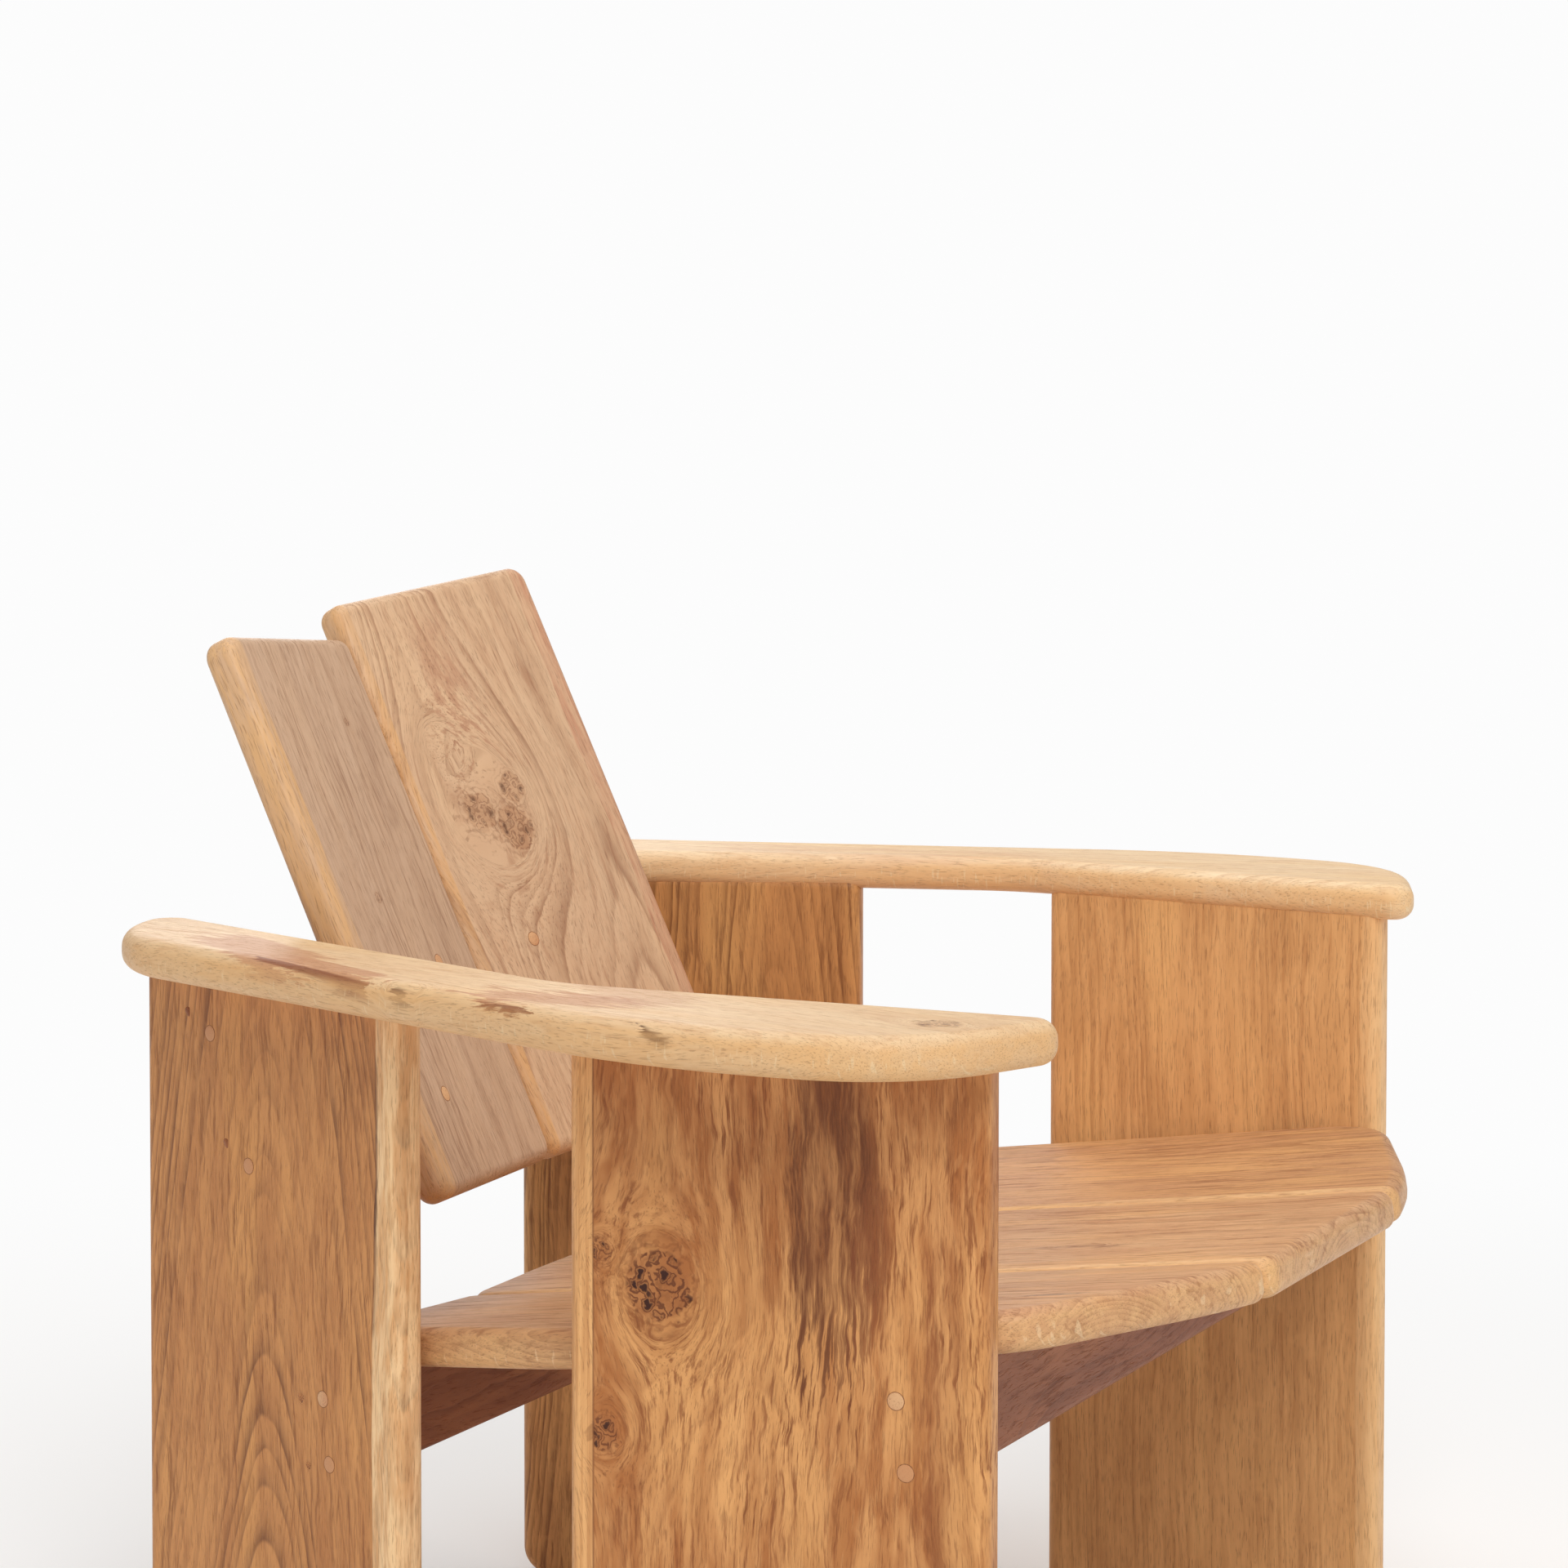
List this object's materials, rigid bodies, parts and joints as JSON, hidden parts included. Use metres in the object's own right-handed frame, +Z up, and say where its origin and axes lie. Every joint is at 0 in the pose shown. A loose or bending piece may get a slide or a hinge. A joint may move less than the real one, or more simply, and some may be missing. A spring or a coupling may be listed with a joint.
{
  "type": "wooden armchair",
  "caption": "Low solid oak armchair with broad plank legs, bow-shaped armrests, a dished board seat and a leaning two-board back, held by wooden pegs.",
  "frame": {"origin": "on the floor, midway between the front and the rear legs and on the chair's centre line", "axes": "+Z up, the chair faces -Y, +X towards the sitter's left"},
  "size_m": [0.9122, 0.7709, 0.7871],
  "materials": {
    "arm_oak": "satin oiled blond oak",
    "front_leg_oak": "satin oiled honey oak",
    "rear_leg_oak": "satin oiled golden brown oak",
    "seat_oak": "satin oiled tan oak",
    "frame_oak": "satin oiled dark oak",
    "back_right_oak": "satin oiled greyish oak",
    "back_left_oak": "satin oiled pinkish burl oak",
    "peg_oak": "satin oiled light oak"
  },
  "bodies": {
    "root": {"armrest_right": "arm_oak", "armrest_left": "arm_oak", "front_leg_right": "front_leg_oak", "front_leg_left": "front_leg_oak", "rear_leg_right": "rear_leg_oak", "rear_leg_left": "rear_leg_oak", "front_leg_pegs_right": "peg_oak", "front_leg_pegs_left": "peg_oak", "rear_leg_pegs_right": "peg_oak", "rear_leg_pegs_left": "peg_oak", "seat_board_right": "seat_oak", "seat_board_middle": "seat_oak", "seat_board_left": "seat_oak", "seat_dowels": "peg_oak", "front_apron": "frame_oak", "rear_apron": "frame_oak", "back_board_right": "back_right_oak", "back_board_left": "back_left_oak", "back_board_pegs": "peg_oak", "back_rail_lower": "frame_oak", "back_rail_upper": "frame_oak"}
  },
  "joints": []
}
